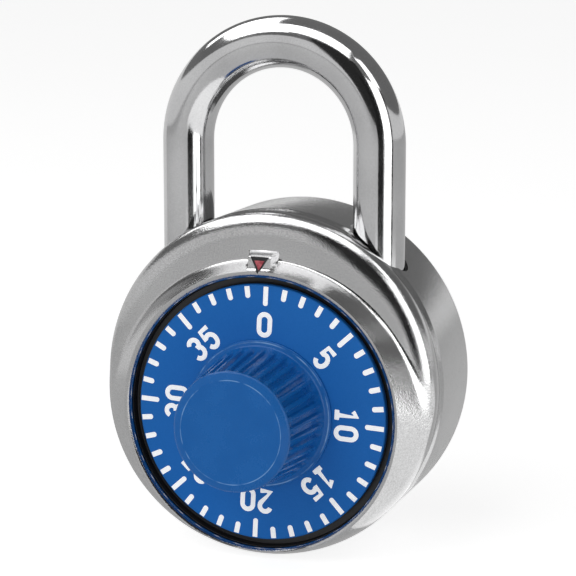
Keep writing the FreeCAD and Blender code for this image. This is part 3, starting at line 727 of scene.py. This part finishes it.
# %% Rear cover
COVER, COVER_PAD, COVER_THICK = 22.85, 20.7, 1.0
cover = rounded([
    (0.0, 0.0, 0.0), (COVER_PAD, 0.0, 0.45), (COVER_PAD, LIP_DEPTH, 0.1),
    (COVER, LIP_DEPTH, 0.1), (COVER, LIP_DEPTH + COVER_THICK, 0.1),
    (COVER_PAD - COVER_THICK, LIP_DEPTH + COVER_THICK, 0.2),
    (COVER_PAD - COVER_THICK, COVER_THICK, 0.2), (0.0, COVER_THICK, 0.0),
])
hand_over(lathe(bmesh.new(), cover, steps=240), "rear_cover", "housing",
          satin_steel, ["back_cover"])

# %% [markdown]
# ## The shackle
# One rod, bent into a half circle between two straight legs. A circle is spun through half a
# turn for the bow, and the rings at its two ends are drawn down into legs and chamfered.

# %% Bend the rod
BOW_CENTRE = shackle_high.z - LEG - ROD
TOE_END, HEEL_END, CHAMFER = 10.5, shackle_low.z, 0.8
ROD_SIDES = 96
BOW_STEPS = 120


def draw_down(mesh, ring, end):
    """Draws a ring of edges straight down to a chamfered, closed end."""
    for stop, size in ((end + CHAMFER, 1.0), (end, (ROD - CHAMFER) / ROD)):
        grown = bmesh.ops.extrude_edge_only(mesh, edges=ring)["geom"]
        points = [thing for thing in grown if isinstance(thing, bmesh.types.BMVert)]
        ring = [thing for thing in grown if isinstance(thing, bmesh.types.BMEdge)]
        middle = sum((point.co for point in points), Vector()) / len(points)
        bmesh.ops.translate(mesh, verts=points, vec=(0.0, 0.0, stop - middle.z))
        middle.z = stop
        bmesh.ops.scale(mesh, verts=points, vec=(size, size, 1.0),
                        space=Matrix.Translation(-middle))
    bmesh.ops.edgeloop_fill(mesh, edges=ring)


rod = bmesh.new()
start = bmesh.ops.create_circle(rod, segments=ROD_SIDES, radius=ROD,
                                matrix=Matrix.Translation(at(LEG, LEG_DEPTH, BOW_CENTRE)))
toe_ring = rod.edges[:]
turned = bmesh.ops.spin(rod, geom=start["verts"] + toe_ring, axis=(0, -1, 0), angle=math.pi,
                        cent=at(0.0, LEG_DEPTH, BOW_CENTRE), steps=BOW_STEPS)
heel_ring = [thing for thing in turned["geom_last"] if isinstance(thing, bmesh.types.BMEdge)]
draw_down(rod, toe_ring, TOE_END)
draw_down(rod, heel_ring, HEEL_END)
bmesh.ops.recalc_face_normals(rod, faces=rod.faces)
print("shackle blank closed:", all(len(edge.link_faces) == 2 for edge in rod.edges))

# %% [markdown]
# The short leg has a notch for the latch, with a slanting lower side. The long leg has a flat
# and a turned-down ring, which let it lift so far and no further. All three are removed from a
# finished rod, as on the real one.

# %% Mill the notch, the flat and the ring
NOTCH_FLOOR, NOTCH_LOW, NOTCH_TOP = 11.6, 12.7, 17.0
HEEL_CORE, FLAT_TOP, FLAT_LOW, RING_TOP = 1.73, 5.5, -9.2, -6.6


def block(left, right, low, high):
    """A box right through the rod, between two x and two z."""
    made = bmesh.new()
    place = (Matrix.Translation(at((left + right) / 2, LEG_DEPTH, (low + high) / 2))
             @ Matrix.Diagonal((right - left, ROD * 3, high - low, 1.0)))
    bmesh.ops.create_cube(made, size=1.0, matrix=place)
    return made


notch = block(LEG - ROD * 2, NOTCH_FLOOR, NOTCH_LOW, NOTCH_TOP)
ramp = [point for point in notch.verts
        if point.co.x < NOTCH_FLOOR - 1 and point.co.z < NOTCH_LOW + 1]
bmesh.ops.translate(notch, verts=ramp, vec=(0.0, 0.0, -ROD - 1.0))
flat = block(-LEG - ROD * 2, -LEG - HEEL_CORE, FLAT_LOW, FLAT_TOP)
band = bmesh.new()
ring_place = Matrix.Translation(at(-LEG, LEG_DEPTH, (FLAT_LOW + RING_TOP) / 2))
for radius in (ROD * 1.5, HEEL_CORE):
    bmesh.ops.create_cone(band, cap_ends=False, segments=ROD_SIDES, radius1=radius,
                          radius2=radius, depth=RING_TOP - FLAT_LOW, matrix=ring_place)
rings = [edge for edge in band.edges if edge.is_boundary]
for level in (FLAT_LOW, RING_TOP):
    bmesh.ops.bridge_loops(band, edges=[edge for edge in rings
                                        if abs(edge.verts[0].co.z - level) < 0.01])
bmesh.ops.recalc_face_normals(band, faces=band.faces)
rod = carve(rod, notch, flat, band)
hand_over(rod, "shackle_rod", "shackle", bright_steel, ["shackle"])

# %% [markdown]
# ## The dial
# A flat enamelled disc with a softened edge, which catches a thin line of light. The white
# marks are separate, thin, slightly raised fills: a long one at every fifth place, and each
# with a round inner end, because they are printed with a round-nosed tool.

# %% Disc and graduations
EDGE = 0.28
PLACES = 40
TURNED = math.radians(-2.78)             # the dial rests a little clockwise of its zero
LONG_MARK, SHORT_MARK = (15.0, 17.66), (16.05, 17.66)
LONG_WIDTH, SHORT_WIDTH = 0.68, 0.72
FILL = 0.03                              # how far the white stands over the enamel
SUNK = 0.12                              # and how far it goes in

disc = rounded([(0.0, DIAL_FACE, 0.0), (DIAL, DIAL_FACE, EDGE),
                (DIAL, -dial_high.y, 0.1), (0.0, -dial_high.y, 0.0)])
hand_over(lathe(bmesh.new(), disc, steps=360, height=-DROP), "dial_disc", "dial",
          enamel_blue, ["dial_plate"])


def dial_turn(number):
    """Turns a drawing at the top of the dial to the place of a number, clockwise."""
    angle = TURNED - math.tau * number / PLACES
    return Matrix.Translation(at(0.0, DIAL_FACE, -DROP)) @ Matrix.Rotation(-angle, 4, "Y")


marks = bmesh.new()
for number in range(PLACES):
    inner, outer = SHORT_MARK if number % 5 else LONG_MARK
    width = SHORT_WIDTH if number % 5 else LONG_WIDTH
    bar = (dial_turn(number)
           @ Matrix.Translation(at(0.0, (FILL - SUNK) / 2, (inner + outer) / 2))
           @ Matrix.Diagonal((width, FILL + SUNK, outer - inner, 1.0)))
    made = bmesh.ops.create_cube(marks, size=1.0, matrix=bar)["verts"]
    centre = at(0.0, DIAL_FACE, -DROP)
    near = [point for point in made if (point.co - centre).length < (inner + outer) / 2]
    ends = [edge for edge in {edge for point in near for edge in point.link_edges}
            if abs((edge.verts[0].co - edge.verts[1].co).y) > 0.1]
    bmesh.ops.bevel(marks, geom=ends, offset=width * 0.46, segments=6, profile=0.5,
                    affect="EDGES", material=-1)
hand_over(marks, "dial_marks", "dial", glowing_white)

# %% [markdown]
# ## The numbers
# The digits are plain engraver's strokes of one width with round ends, and the one has a foot.
# A font would bring someone's lettering with it, so each digit is drawn as a few lines and
# arcs, and every stroke is a bevelled curve.

# %% Strokes of the digits
STROKE = 0.35            # half the width of a stroke
DIGIT_WIDTH, DIGIT_HEIGHT = 1.54, 2.88   # between the middles of the strokes
DIGIT_STEP = 2.55        # from one digit to the next
DIGIT_CENTRE = 12.38     # radius of the digits' middle
half_wide = DIGIT_WIDTH / 2
half_high = DIGIT_HEIGHT / 2


def arc(centre, radii, start, stop, steps=14):
    """Points of an ellipse's arc between two angles in degrees."""
    points = []
    for step in range(steps + 1):
        angle = math.radians(start + (stop - start) * step / steps)
        points.append((centre[0] + radii[0] * math.cos(angle),
                       centre[1] + radii[1] * math.sin(angle)))
    return points


def oval():
    """The nought: two half circles joined by straight sides."""
    straight = half_high - half_wide
    top = arc((0.0, straight), (half_wide, half_wide), 0, 180)
    low = arc((0.0, -straight), (half_wide, half_wide), 180, 360)
    return top + low + top[:1]


bowl = 0.96              # radius of the five's bowl, taller than wide
DIGITS = {
    "0": [oval()],
    "1": [[(-0.62, half_high - 0.62), (0.1, half_high), (0.1, -half_high)],
          [(-0.62, -half_high), (0.78, -half_high)]],
    "2": [arc((0.0, half_high - half_wide), (half_wide, half_wide), 165, -35)
          + [(-half_wide, -half_high), (half_wide, -half_high)]],
    "3": [arc((0.0, half_high - 0.74), (0.72, 0.74), 160, -70)
          + arc((-0.02, -half_high + 0.84), (half_wide, 0.84), 75, -160)],
    "5": [[(half_wide - 0.05, half_high), (-half_wide + 0.12, half_high),
           (-half_wide, 0.22)]
          + arc((-0.02, -half_high + bowl), (half_wide, bowl), 130, -155)],
}
print("digits drawn:", ", ".join(DIGITS))


def stroke_curve(numbers):
    """A curve object that holds every stroke of every number, in place on the dial."""
    curve = bpy.data.curves.new("strokes", "CURVE")
    curve.dimensions = "3D"
    curve.bevel_depth = STROKE
    curve.bevel_resolution = 3
    curve.use_fill_caps = True
    for number in numbers:
        word = str(number)
        for place, digit in enumerate(word):
            shift = (place - (len(word) - 1) / 2) * DIGIT_STEP
            for stroke in DIGITS[digit]:
                spline = curve.splines.new("POLY")
                spline.points.add(len(stroke) - 1)
                for point, (x, z) in zip(spline.points, stroke):
                    spot = dial_turn(number) @ at(x + shift, 0.0, z + DIGIT_CENTRE)
                    point.co = (*spot, 1.0)
    holder = bpy.data.objects.new("strokes", curve)
    bpy.context.scene.collection.objects.link(holder)
    return holder


# %% [markdown]
# Strokes that cross would leave walls inside each other. A voxel remesh welds the strokes of a
# number into one closed skin with soft corners, and squashing it in depth leaves a low fill of
# paint.

# %% Weld them and lay them on the dial
VOXEL = 0.075
strokes = stroke_curve(range(0, PLACES, 5))
tubes = bpy.data.meshes.new_from_object(strokes)
bpy.data.objects.remove(strokes)
drawn = bmesh.new()
drawn.from_mesh(tubes)
bpy.data.meshes.remove(tubes)
welding = loose_object(drawn, "welding")
weld = welding.modifiers.new("weld", "REMESH")
weld.mode = "VOXEL"
weld.voxel_size = VOXEL
skin = bpy.data.meshes.new_from_object(
    welding.evaluated_get(bpy.context.evaluated_depsgraph_get()))
bpy.data.objects.remove(welding)
numbers = bmesh.new()
numbers.from_mesh(skin)
bpy.data.meshes.remove(skin)
bmesh.ops.smooth_vert(numbers, verts=numbers.verts, factor=0.5, use_axis_x=True,
                      use_axis_y=True, use_axis_z=True)
bmesh.ops.scale(numbers, verts=numbers.verts, vec=(1.0, FILL / STROKE, 1.0),
                space=Matrix.Translation(at(0.0, -DIAL_FACE, 0.0)))
hand_over(numbers, "dial_numbers", "dial", glowing_white)

# %% [markdown]
# ## The knob
# The knob is turned, and then fluted for grip. The foot flares on to the dial, the grip
# narrows towards the front, and the face is flat with a rounded border. The flutes are made
# by moving the grip's own points in and out with a cosine round the axis, faded in at the
# foot and out at the border. That keeps one clean skin, and needs no cutting.

# %% Turn and flute the knob
FLUTES = 36
FLUTE_DEPTH = 0.42
STEPS_PER_FLUTE = 12
SKIRT, SKIRT_EDGE = (knob_high.x - knob_low.x) / 2, 0.45
FOOT, FOOT_DEPTH = 9.2, 23.3
GRIP, GRIP_DEPTH = 8.35, 32.2
KNOB_FLAT = 7.15
GRIP_RINGS = 14
FLUTE_START = 0.35       # the flutes fade in this far each side of the foot's top
FLUTE_END = (0.55, 1.35)                 # and out this far behind the face
FLUTE_WALL = (0.15, 0.85)                # the part of the wave that is a flute's side

profile = rounded([
    (0.0, DIAL_FACE, 0.0), (SKIRT, DIAL_FACE, 0.0), (SKIRT, DIAL_FACE + SKIRT_EDGE, 0.2),
    (FOOT + 0.25, DIAL_FACE + SKIRT_EDGE + 0.25, 0.5), (FOOT, FOOT_DEPTH, 0.0),
])
for ring in range(1, GRIP_RINGS + 1):
    share = ring / GRIP_RINGS
    profile.append((FOOT + (GRIP - FOOT) * share, FOOT_DEPTH + (GRIP_DEPTH - FOOT_DEPTH) * share))
profile += rounded([
    (GRIP, GRIP_DEPTH, 0.0), (GRIP - 0.18, KNOB_FACE - 0.35, 0.5), (KNOB_FLAT, KNOB_FACE, 0.25),
    (0.0, KNOB_FACE, 0.0),
])[1:]
knob = lathe(bmesh.new(), profile, FLUTES * STEPS_PER_FLUTE, -DROP)


def ease(value, low, high):
    """0 below low and 1 above high, smoothly between."""
    share = min(max((value - low) / (high - low), 0.0), 1.0)
    return share * share * (3 - 2 * share)


for point in knob.verts:
    across, depth, height = point.co.x, -point.co.y, point.co.z + DROP
    radius = math.hypot(across, height)
    if radius < KNOB_FLAT or depth < FOOT_DEPTH - FLUTE_START:
        continue
    fade = (ease(depth, FOOT_DEPTH - FLUTE_START, FOOT_DEPTH + FLUTE_START)
            * ease(KNOB_FACE - depth, *FLUTE_END))
    wave = 0.5 + 0.5 * math.cos(FLUTES * math.atan2(across, height))
    shrink = 1 - FLUTE_DEPTH * fade * ease(wave, *FLUTE_WALL) / radius
    point.co.x = across * shrink
    point.co.z = height * shrink - DROP
hand_over(knob, "dial_knob", "dial", moulded_blue, ["knob"])

# %% [markdown]
# ## The camera
# A long lens from a little to the right and above, as a product is usually shown. The camera
# aims past the middle of the lock, which frames it without any lens shift.

# %% Camera
AZIMUTH, ELEVATION = math.radians(19.26), math.radians(10.09)
DISTANCE, LENS = 298.1, 127.1
AIM_RIGHT, AIM_UP = -3.42, 10.19

toward = Vector((math.sin(AZIMUTH) * math.cos(ELEVATION),
                 -math.cos(AZIMUTH) * math.cos(ELEVATION), math.sin(ELEVATION)))
right = Vector((math.cos(AZIMUTH), math.sin(AZIMUTH), 0.0))
up = toward.cross(right)
camera_data = bpy.data.cameras.new("camera")
camera_data.lens = LENS
camera_data.sensor_width = 36.0
camera_data.clip_start = 0.01
camera = bpy.data.objects.new("camera", camera_data)
camera.location = (toward * DISTANCE + right * AIM_RIGHT + up * AIM_UP) * MM
camera.rotation_mode = "QUATERNION"
camera.rotation_quaternion = (-toward).to_track_quat("-Z", "Y")
bpy.context.scene.collection.objects.link(camera)
bpy.context.scene.camera = camera
print("camera at", tuple(round(value, 4) for value in camera.location))

# %% [markdown]
# ## The floor
# A plain pale floor under the lock. Polished metal shows nothing but its surroundings, so a
# floor as bright as the backdrop would wash the steel out. It glows a little more to the
# camera than it does in reflections, which keeps the backdrop pale and the metal grey.

# %% Floor
floor_mesh = bmesh.new()
bmesh.ops.create_grid(floor_mesh, x_segments=1, y_segments=1, size=6.0)
bmesh.ops.translate(floor_mesh, verts=floor_mesh.verts, vec=(0.0, 0.0, cad_low.z))
floor = loose_object(floor_mesh, "floor")
FLOOR_SEEN, FLOOR_MIRRORED = 0.78, 0.36


def write_floor(graph):
    """Brighter to the camera than to the metal, as a backdrop lit from behind would be."""
    cloud = graph.noise(2.0, 2.0)
    seen = graph.node("ShaderNodeLightPath")
    return {"Base Color": graph.tint(cloud, (0.55, 0.55, 0.55), (0.57, 0.57, 0.57)),
            "Emission Color": graph.tint(seen, (FLOOR_MIRRORED,) * 3, (FLOOR_SEEN,) * 3)}


floor.data.materials.append(material("pale_floor", write_floor, Roughness=0.9,
                                     Emission_Strength=1.0, Specular_IOR_Level=0.0))
print("floor at", round(cad_low.z / MM, 2), "mm")

# %% [markdown]
# ## The sky
# The lower sky is pale and the sky above is darker, and that gives the metal its greys. The
# border between them leans back, so that the front of the bow sees more of the pale part.

# %% Sky
LOW_SKY, HIGH_SKY = 0.85, 0.20
SKY_LEAN = 0.207         # how far the dark part of the sky leans back
world = bpy.data.worlds.new("studio")
bpy.context.scene.world = world
world.use_nodes = True
sky = Graph(world.node_tree)
direction = sky.node("ShaderNodeTexCoord", output=0)
height = sky.node("ShaderNodeVectorMath", {"operation": "DOT_PRODUCT"},
                  {0: direction, 1: (0.0, SKY_LEAN, 1.0)}, output=1)
shade = sky.spread(height, 0.305, 0.322)
colour = sky.tint(shade, (LOW_SKY,) * 3, (HIGH_SKY,) * 3)
light = sky.node("ShaderNodeBackground", None, {"Color": colour, "Strength": 1.0})
sky.node("ShaderNodeOutputWorld", None, {"Surface": light})
print("sky:", LOW_SKY, "low and", HIGH_SKY, "high")

# %% [markdown]
# ## Cards
# A few cards stand round the lock where the metal looks: white ones for the highlights and
# dark ones for the bands between them. They are seen in reflections only.

# %% Cards
CARD_RADIUS = 0.26


def card(name, brightness, width, height, place):
    """An evenly lit card that only reflections see."""
    sheet = bmesh.new()
    bmesh.ops.create_grid(sheet, x_segments=1, y_segments=1, size=0.5)
    bmesh.ops.scale(sheet, verts=sheet.verts, vec=(width, height, 1.0))
    bmesh.ops.transform(sheet, matrix=place, verts=sheet.verts)
    made = loose_object(sheet, name)
    lit = bpy.data.materials.new(name)
    lit.use_nodes = True
    graph = Graph(lit.node_tree)
    glow = graph.node("ShaderNodeEmission", None,
                      {"Color": (1.0, 1.0, 1.0, 1.0), "Strength": brightness})
    graph.node("ShaderNodeOutputMaterial", None, {"Surface": glow})
    made.data.materials.append(lit)
    made.visible_camera = False
    made.visible_diffuse = False
    made.visible_shadow = False
    return made


def standing(name, brightness, from_azimuth, to_azimuth, low, high):
    """A card that stands round the lock between two azimuths, from low to high in metres."""
    middle = math.radians((from_azimuth + to_azimuth) / 2)
    spread = math.radians(to_azimuth - from_azimuth)
    place = (Matrix.Rotation(middle, 4, "Z")
             @ Matrix.Translation((0.0, -CARD_RADIUS, (low + high) / 2))
             @ Matrix.Rotation(math.pi / 2, 4, "X"))
    return card(name, brightness, 2 * CARD_RADIUS * math.tan(spread / 2), high - low, place)


# Each card's name and brightness, its azimuths in degrees and its heights in metres.
FLOOR_LEVEL = cad_low.z + 0.001
standing("dark_front", 0.015, 13, 35, FLOOR_LEVEL, 0.16)
standing("dark_front_high", 0.03, -5, 39, 0.036, 0.30)
standing("white_right", 3.2, 40, 68, FLOOR_LEVEL, 0.20)
standing("white_right_high", 3.0, 56, 78, 0.20, 0.38)
standing("dark_right", 0.02, 70, 75, FLOOR_LEVEL, 0.20)
standing("pale_left", 0.85, -140, -95, FLOOR_LEVEL, 0.115)
# The level cards: name, brightness, width, height and place.
card("white_above", 3.2, 0.40, 0.345, Matrix.Translation((0.05, -0.2225, 0.5)))
card("white_above_left", 3.2, 0.35, 0.815, Matrix.Translation((-0.325, -0.0575, 0.5)))
card("white_far_left", 3.2, 0.22, 0.23, Matrix.Translation((-0.61, 0.235, 0.5)))
card("pale_underfoot", 1.3, 0.26, 0.30, Matrix.Translation((0.145, -0.14, FLOOR_LEVEL)))

# %% [markdown]
# ## The key light
# One broad, weak light from the upper left models the blue parts and gives a soft shadow. The
# metal doesn't see it, because the cards have already drawn its highlights.

# %% Key light
def softbox(name, azimuth, elevation, distance, size, power):
    """A square area light aimed at the lock."""
    lamp = bpy.data.lights.new(name, "AREA")
    lamp.size = size
    lamp.energy = power
    holder = bpy.data.objects.new(name, lamp)
    aim = Vector((math.sin(azimuth) * math.cos(elevation),
                  -math.cos(azimuth) * math.cos(elevation), math.sin(elevation)))
    holder.location = aim * distance
    holder.rotation_mode = "QUATERNION"
    holder.rotation_quaternion = aim.to_track_quat("Z", "Y")
    holder.visible_glossy = False
    bpy.context.scene.collection.objects.link(holder)


softbox("key", azimuth=math.radians(-25), elevation=math.radians(48), distance=0.9, size=0.7,
        power=3.0)
bpy.context.scene.view_settings.view_transform = "Standard"
print("lights:", [lamp.name for lamp in bpy.data.lights])

# %% Sizes of the frame box
print("frame box ", [round(value / MM, 2) for value in (*cad_low, *cad_high)])
